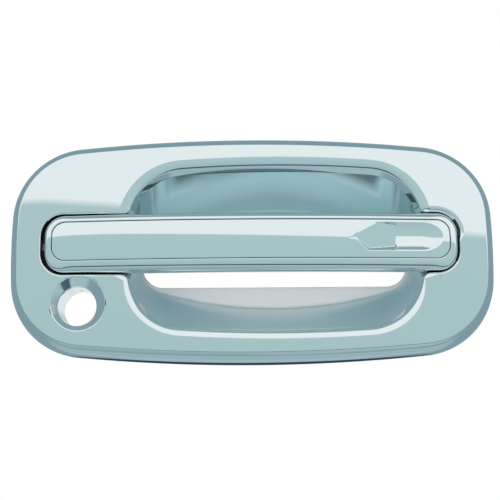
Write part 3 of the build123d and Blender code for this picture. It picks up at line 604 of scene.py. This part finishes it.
def panel_loop(grow, sink):
    """Loop round the panel at a growth, sunk below the bar's crown."""
    loop = [(PANEL_MID[0] + x, PANEL_MID[1] + z) for x, z in bowed_loop(PANEL, grow, BAR_COUNTS)]
    return [(x, bar_front(x, z) + sink, z) for x, z in loop]


def bar_ring(inset, y_from_rear):
    loop = [mix(p, q, inset) for p, q in zip(bar_base, bar_inner)]
    return [(x, bar_rear(x) + y_from_rear, z) for x, z in loop]


def front_roll(t):
    """Loop of the bar's rolled front edge, from its side wall at 0 to its crown at 1."""
    ring = []
    for p, q in zip(bar_base, bar_inner):
        share = (p[1] - (BAR_MID[1] - BAR_HALF[1])) / (2 * BAR_HALF[1])
        radius = mix(4.6, 3.0, ease(share))
        radius = mix(radius, 1.8, ease((abs(p[0] - BAR_MID[0]) - 90) / 13))
        a = t * pi / 2
        x, z = mix(p, q, radius * (1 - cos(a)))
        ring.append((x, bar_front(x, z) + radius * (1 - sin(a)), z))
    return ring


roll_end = front_roll(1)
crease_top, crease_edge = panel_loop(0.75, 0.0), panel_loop(0.5, 0.12)
bar_rings = [bar_ring(1.8, 0.0), bar_ring(0.3, 0.0), bar_ring(0, -0.3)]
bar_rings += [between(bar_ring(0, -0.3), front_roll(0), t) for t in (0.25, 0.5, 0.75)]
bar_rings += [front_roll(t) for t in spread(0, 1, 13)]
for t in (0.25, 0.5, 0.75):
    bar_rings.append([(x, bar_front(x, z), z) for x, y, z in between(roll_end, crease_top, t)])
bar_rings += [crease_top, crease_edge, panel_loop(0.45, 1.3)]
bar_rings += [panel_loop(-1.5, 1.35), panel_loop(-1.5, 2.4)]
bar_rings += [bar_ring(2.4, -3.5), bar_ring(1.8, -1.8)]
shell = finish_mesh(loft(bar_rings, closed=True), "bar_rail", "pull_handle")
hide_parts("grip_shell")

# %% [markdown]
# The panel is a fine grid that lies in the crease, because the thumb dimple has facets that loops
# can't follow. The dimple is a flat lead-in that gets deeper, then a scoop. The lead-in's depth is
# the smaller of two slopes, rounded off where they meet, which keeps its middle flat.


# %% Bar panel
DIMPLE_START, DIMPLE_RAMP, DIMPLE_FULL, DIMPLE_END = 52.0, 72.5, 86.0, 96.5
DIMPLE_DEEP, DIMPLE_MID, DIMPLE_HALF, LEAD_TILT = 2.2, 4.2, 7.2, 0.06
PANEL_SINK, SOFT = 0.175, 0.3


def soft_least(a, b, blend):
    """The smaller of two values, rounded off where they are within blend of each other."""
    near = max(0.0, blend - abs(a - b)) / blend
    return min(a, b) - near * near * blend / 4


def dimple(x, z):
    """Depth of the thumb dimple: a flat lead-in facet, then a scoop that ends short of the rail."""
    off = abs(z - DIMPLE_MID)
    half = min(DIMPLE_HALF, 1.0 + max(0.0, x - DIMPLE_START) * 0.9)
    flat = ((z - BAR_MID[1]) ** 2 - (DIMPLE_MID - BAR_MID[1]) ** 2) / BAR_CROWN
    flat += LEAD_TILT * (z - DIMPLE_MID)
    ramp = DIMPLE_DEEP * (x - DIMPLE_START) / (DIMPLE_RAMP - DIMPLE_START) - flat
    lead_in = soft_least(ramp, 1.1 * (half - off), 0.12)
    beyond = max(0.0, x - DIMPLE_FULL) / (DIMPLE_END - DIMPLE_FULL)
    scoop = DIMPLE_DEEP * (1 - (off / DIMPLE_HALF) ** 2 - beyond**2)
    depth = mix(lead_in, scoop, ease((x - DIMPLE_RAMP + 0.8) / 1.6))
    return -soft_least(-depth, 0.0, SOFT) - SOFT / 4


def panel_place(u, v):
    """Place on the panel for a grid point, u and v from 0 to 1, denser in X at the dimple."""
    left, right = PANEL_MID[0] - PANEL_HALF[0], PANEL_MID[0] + PANEL_HALF[0]
    z = PANEL_MID[1] + (2 * v - 1) * PANEL_HALF[1]
    into = max(0.0, abs(z - PANEL_MID[1]) - (PANEL_HALF[1] - PANEL_CORNER)) / PANEL_CORNER
    draw_in = PANEL_CORNER * (1 - sqrt(max(0.0, 1 - min(into, 0.995) ** 2)))
    knee = (50.0 - left) / (right - left)
    s = u / 0.36 * knee if u < 0.36 else knee + (u - 0.36) / 0.64 * (1 - knee)
    return mix(left + draw_in, right - draw_in, s), z


bm = bmesh.new()
bmesh.ops.create_grid(bm, x_segments=420, y_segments=60, size=0.5)
border = [e for e in bm.edges if len(e.link_faces) == 1]
spots = {v: panel_place(v.co.x + 0.5, v.co.y + 0.5) for v in bm.verts}
for v, (x, z) in spots.items():
    v.co = Vector((x, bar_front(x, z) + PANEL_SINK + dimple(x, z), z)) * MM
for drop, draw in ((0.12, 0.12), (0.9, 0.02)):
    made = bmesh.ops.extrude_edge_only(bm, edges=border)["geom"]
    fresh = [g for g in made if isinstance(g, bmesh.types.BMVert)]
    for v in fresh:
        v.co += Vector((0, drop * MM, 0))
        v.co.z += draw * MM * (1 if v.co.z / MM > PANEL_MID[1] else -1)
    fresh = set(fresh)
    edges = [g for g in made if isinstance(g, bmesh.types.BMEdge)]
    border = [e for e in edges if all(v in fresh for v in e.verts)]
panel = finish_mesh(bm, "bar_panel", "pull_handle", sharp=40)

# %% [markdown]
# Every finish is a node graph on object coordinates, so nothing slides when a piece moves. Plating
# is a plain mirror with a trace of roughness. Moulded and stamped pieces get a fine grain from
# noise, in one shared group that gives a bump height and a roughness.


# %% Grain group
def grain_group():
    """Shared group: fine and coarse noise from object coordinates, as a height and a roughness."""
    group = bpy.data.node_groups.new("fine_grain", "ShaderNodeTree")
    interface = group.interface
    scale = interface.new_socket("Scale", in_out="INPUT", socket_type="NodeSocketFloat")
    low = interface.new_socket("Rough low", in_out="INPUT", socket_type="NodeSocketFloat")
    high = interface.new_socket("Rough high", in_out="INPUT", socket_type="NodeSocketFloat")
    scale.default_value, low.default_value, high.default_value = 900.0, 0.4, 0.6
    interface.new_socket("Height", in_out="OUTPUT", socket_type="NodeSocketFloat")
    interface.new_socket("Roughness", in_out="OUTPUT", socket_type="NodeSocketFloat")
    nodes, links = group.nodes, group.links
    start, end = nodes.new("NodeGroupInput"), nodes.new("NodeGroupOutput")
    place = nodes.new("ShaderNodeTexCoord")
    noise = nodes.new("ShaderNodeTexNoise")
    noise.inputs["Detail"].default_value = 3.0
    spread_out = nodes.new("ShaderNodeMapRange")
    links.new(place.outputs["Object"], noise.inputs["Vector"])
    links.new(start.outputs["Scale"], noise.inputs["Scale"])
    links.new(noise.outputs["Fac"], spread_out.inputs["Value"])
    spread_out.inputs["From Min"].default_value = 0.3
    spread_out.inputs["From Max"].default_value = 0.7
    links.new(start.outputs["Rough low"], spread_out.inputs["To Min"])
    links.new(start.outputs["Rough high"], spread_out.inputs["To Max"])
    links.new(noise.outputs["Fac"], end.inputs["Height"])
    links.new(spread_out.outputs["Result"], end.inputs["Roughness"])
    return group


grain = grain_group()
print("grain group", len(grain.nodes), "nodes")

# %% [markdown]
# The cup has three finishes, and their colours are painted light. A smooth one with a darker teal tint
# on its upper wall is painted shade, and a rougher one with a blue-grey tint on its lower wall is a
# painted reflection. A pale, nearly white, barely metallic one on the lower ledge is a painted
# highlight. They stand in for tones that a plain mirror would not show there, so they set the look
# and say nothing about how a real cup is plated.


# %% Finishes
def finish(name, color, metallic, rough, scale=0.0, bump=0.0, coat=0.0):
    """Material with constant values on the shader, and the grain where a scale is given."""
    material = bpy.data.materials.new(name)
    material.use_nodes = True
    nodes, links = material.node_tree.nodes, material.node_tree.links
    shader = nodes["Principled BSDF"]
    shader.inputs["Base Color"].default_value = (*color, 1)
    shader.inputs["Metallic"].default_value = metallic
    shader.inputs["Roughness"].default_value = rough[0]
    shader.inputs["Coat Weight"].default_value = coat
    if scale:
        group = nodes.new("ShaderNodeGroup")
        group.node_tree = grain
        group.inputs["Scale"].default_value = scale
        group.inputs["Rough low"].default_value = rough[0]
        group.inputs["Rough high"].default_value = rough[1]
        links.new(group.outputs["Roughness"], shader.inputs["Roughness"])
        if bump:
            raised = nodes.new("ShaderNodeBump")
            raised.inputs["Strength"].default_value = 1.0
            raised.inputs["Distance"].default_value = bump * MM
            links.new(group.outputs["Height"], raised.inputs["Height"])
            links.new(raised.outputs["Normal"], shader.inputs["Normal"])
    return material


FINISHES = {
    "bright_chrome": finish("bright_chrome", (0.92, 0.925, 0.93), 1.0, (0.015,)),
    # The next three are painted light for the cup: a darker teal tint as painted shade, a blue-grey
    # tint as a painted reflection, and a near-white diffuse finish as a painted highlight.
    "satin_chrome": finish("satin_chrome", (0.55, 0.72, 0.75), 0.85, (0.14, 0.17), 1500, 0.001),
    "fine_chrome": finish("fine_chrome", (0.72, 0.84, 0.88), 0.85, (0.3, 0.36), 1500, 0.002),
    "frosted_chrome": finish("frosted_chrome", (0.98, 0.99, 0.995), 0.1, (0.22,)),
    "black_nylon": finish("black_nylon", (0.018, 0.019, 0.021), 0.0, (0.42, 0.6), 1400, 0.05),
    "clip_nylon": finish("clip_nylon", (0.62, 0.59, 0.49), 0.0, (0.38, 0.5), 500, 0.02),
    "acetal": finish("acetal", (0.8, 0.8, 0.76), 0.0, (0.3, 0.42), 500, 0.01),
    "foam_rubber": finish("foam_rubber", (0.016, 0.016, 0.017), 0.0, (0.85, 1.0), 2600, 0.25),
    "soft_rubber": finish("soft_rubber", (0.02, 0.02, 0.02), 0.0, (0.6, 0.75), 900, 0.03),
    "zinc_plated_steel": finish("zinc_plated_steel", (0.66, 0.67, 0.66), 1.0, (0.2, 0.36), 350, 0.01),
    "plain_steel": finish("plain_steel", (0.5, 0.51, 0.52), 1.0, (0.24, 0.34), 700, 0.008),
    "spring_steel": finish("spring_steel", (0.36, 0.36, 0.37), 1.0, (0.22, 0.34), 700, 0.008),
    "cast_zinc": finish("cast_zinc", (0.52, 0.53, 0.54), 1.0, (0.36, 0.52), 600, 0.04),
}
slot_of = {s["node"]: s["material_slot"] for s in frame["record"]["subparts"]}
for name, node in frame["nodes"].items():
    node.data.materials.clear()
    node.data.materials.append(FINISHES[slot_of[name]])
PIECE_FINISHES = {
    bezel: ["bright_chrome"],
    cup: ["satin_chrome", "frosted_chrome", "fine_chrome"],
    # The bar shell's second finish, black nylon, is painted shade in its crease.
    shell: ["bright_chrome", "black_nylon"],
    panel: ["bright_chrome"],
}
for piece, names in PIECE_FINISHES.items():
    piece.data.materials.clear()
    for name in names:
        piece.data.materials.append(FINISHES[name])
# Cup faces above the middle take the darker painted shade. Forward-facing ledge faces below it take the
# white painted highlight, and the rest of the lower wall takes the blue-grey painted reflection.
for polygon in cup.data.polygons:
    x, y, z = (c / MM for c in polygon.center)
    if z < 0:
        on_ledge = polygon.normal.y < -0.8 and y > CUP_FLOOR - 0.7
        polygon.material_index = 1 if on_ledge else 2
# The plated bar's faces in the sunk crease round its panel take the black nylon finish. This is a
# painted dark line, painted shade in the crease of a bar that is one plated piece.
for polygon in shell.data.polygons:
    x, y, z = (c / MM for c in polygon.center)
    sunk = y - bar_front(x, z)
    if abs(z - PANEL_MID[1]) < PANEL_HALF[1] + 0.49 and 0.5 < sunk < 2.6:
        polygon.material_index = 1
print("finishes", len(FINISHES), "on", len(slot_of), "CAD nodes and 4 lofted pieces")

# %% [markdown]
# A mirror shows only its surroundings, so the studio is drawn by direction. The rows give the
# colour at each angle round the X axis: 0 is in front, 90 is above and 180 is behind. A bright
# softbox starts at a slanting edge 16 degrees up, a grey-green floor lies below it, and dark gaps
# between the panels draw the thin dark lines that plating shows along its tight bends.


# %% Studio
def tint(red, green, blue):
    """Display colour, 0 to 255, as scene-linear values."""
    values = [c / 255 for c in (red, green, blue)]
    linear = [c / 12.92 if c <= 0.04045 else ((c + 0.055) / 1.055) ** 2.4 for c in values]
    return (*linear, 1.0)


def maths(tree, operation, *values):
    node = tree.nodes.new("ShaderNodeMath")
    node.operation = operation
    for socket, value in zip(node.inputs, values):
        if isinstance(value, (int, float)):
            socket.default_value = value
        else:
            tree.links.new(value, socket)
    return node.outputs[0]


def ramp(tree, value, stops):
    node = tree.nodes.new("ShaderNodeValToRGB")
    elements = node.color_ramp.elements
    elements[0].position, elements[0].color = stops[0]
    elements[1].position, elements[1].color = stops[-1]
    for place, color in stops[1:-1]:
        elements.new(place).color = color
    tree.links.new(value, node.inputs["Fac"])
    return node.outputs["Color"]


world = bpy.data.worlds.new("studio")
bpy.context.scene.world = world
world.use_nodes = True
tree = world.node_tree
tree.nodes.clear()
direction = tree.nodes.new("ShaderNodeTexCoord").outputs["Generated"]
split = tree.nodes.new("ShaderNodeSeparateXYZ")
tree.links.new(direction, split.inputs[0])
x, y, z = split.outputs
DEGREE = 180 / pi
front = maths(tree, "MULTIPLY", y, -1.0)
around = maths(tree, "MULTIPLY", maths(tree, "ARCTAN2", z, front), DEGREE)
height = maths(tree, "MULTIPLY", maths(tree, "ARCSINE", z), DEGREE)
turn = maths(tree, "MULTIPLY", maths(tree, "ARCTAN2", x, front), DEGREE)
past = maths(tree, "MAXIMUM", maths(tree, "MULTIPLY_ADD", turn, -1.0, -18.0), 0.0)
slant = maths(tree, "MULTIPLY_ADD", past, 0.25, maths(tree, "MULTIPLY", turn, 0.19))
near_edge = maths(tree, "LESS_THAN", maths(tree, "ABSOLUTE", turn), 80.0)
leaning = maths(tree, "MULTIPLY_ADD", slant, near_edge, around)
ROWS = [
    (-180, (226, 236, 238)),
    (-168, (226, 236, 238)),
    (-160, (46, 68, 90)),
    (-141, (40, 62, 84)),
    (-136, (160, 187, 192)),
    (-120, (166, 191, 196)),
    (-112, (150, 180, 187)),
    (-99, (158, 186, 192)),
    (-92, (128, 162, 166)),
    (-84, (146, 177, 180)),
    (-66, (166, 190, 196)),
    (-61, (172, 197, 202)),
    (-58, (62, 90, 106)),
    (-48, (74, 102, 116)),
    (-45, (160, 191, 195)),
    (-10, (170, 200, 203)),
    (16.0, (174, 203, 206)),
    (16.8, (232, 243, 245)),
    (56, (234, 245, 247)),
    (61, (140, 168, 176)),
    (100, (124, 154, 163)),
    (140, (128, 160, 170)),
    (164, (150, 176, 184)),
    (172, (226, 236, 238)),
    (180, (226, 236, 238)),
]
row_stops = [(a / 360 + 0.5, tint(*c)) for a, c in ROWS]
front_color = ramp(tree, maths(tree, "MULTIPLY_ADD", leaning, 1 / 360, 0.5), row_stops)


def fade(value, low, high):
    """0 below low and 1 above high."""
    node = tree.nodes.new("ShaderNodeMapRange")
    node.interpolation_type = "SMOOTHSTEP"
    tree.links.new(value, node.inputs["Value"])
    node.inputs["From Min"].default_value, node.inputs["From Max"].default_value = low, high
    return node.outputs["Result"]


aside = maths(tree, "ABSOLUTE", turn)
beside = maths(tree, "SUBTRACT", fade(aside, 52, 66), fade(aside, 160, 168))
level = maths(tree, "SUBTRACT", 1.0, fade(maths(tree, "ABSOLUTE", height), 42, 58))
blend_node = tree.nodes.new("ShaderNodeMix")
blend_node.data_type = "RGBA"
tree.links.new(maths(tree, "MULTIPLY", beside, level), blend_node.inputs[0])
tree.links.new(front_color, blend_node.inputs[6])
blend_node.inputs[7].default_value = tint(130, 158, 168)
seen = tree.nodes.new("ShaderNodeBackground")
plain = tree.nodes.new("ShaderNodeBackground")
plain.inputs["Color"].default_value = (1, 1, 1, 1)
tree.links.new(blend_node.outputs[2], seen.inputs["Color"])
rays = tree.nodes.new("ShaderNodeLightPath")
choose = tree.nodes.new("ShaderNodeMixShader")
tree.links.new(rays.outputs["Is Glossy Ray"], choose.inputs[0])
tree.links.new(plain.outputs[0], choose.inputs[1])
tree.links.new(seen.outputs[0], choose.inputs[2])
tree.links.new(choose.outputs[0], tree.nodes.new("ShaderNodeOutputWorld").inputs[0])
bpy.context.scene.view_settings.view_transform = "Standard"
print("studio rows", len(ROWS))

# %% [markdown]
# The floor is plain and pale, and one soft lamp lights the moulded and stamped pieces. Plating
# doesn't see either of them, only the drawn studio. The camera looks up a little at the handle from
# about half a metre, with a long lens and a trace of roll.

# %% Floor, lamp and camera
bm = bmesh.new()
bmesh.ops.create_grid(bm, x_segments=1, y_segments=1, size=1.2)
floor_mesh = bpy.data.meshes.new("floor")
bm.to_mesh(floor_mesh)
bm.free()
floor = bpy.data.objects.new("floor", floor_mesh)
floor.location = (0, 0, -0.30)
floor.data.materials.append(finish("floor_paper", (0.8, 0.81, 0.81), 0.0, (0.9,)))
floor.visible_glossy = False
lamp_data = bpy.data.lights.new("softbox", "AREA")
lamp_data.size, lamp_data.energy = 0.9, 9.0
lamp = bpy.data.objects.new("softbox", lamp_data)
lamp.location = (-0.4, -0.9, 0.9)
lamp.rotation_euler = Vector((0.4, 0.9, -0.9)).to_track_quat("-Z", "Y").to_euler()
lamp.visible_glossy = False
camera_data = bpy.data.cameras.new("camera")
camera_data.lens, camera_data.sensor_width = 72.0, 36.0
camera = bpy.data.objects.new("camera", camera_data)
LOOK_UP, AWAY, AIM, ROLL = radians(10.0), 0.52, Vector((-0.00104, 0, 0.00062)), radians(-0.38)
camera.location = AIM + AWAY * Vector((0, -cos(LOOK_UP), -sin(LOOK_UP)))
camera.rotation_mode = "QUATERNION"
level = Euler((pi / 2 + LOOK_UP, 0, 0)).to_quaternion()
camera.rotation_quaternion = level @ Euler((0, 0, ROLL)).to_quaternion()
for item in (floor, lamp, camera):
    bpy.context.scene.collection.objects.link(item)
bpy.context.scene.camera = camera
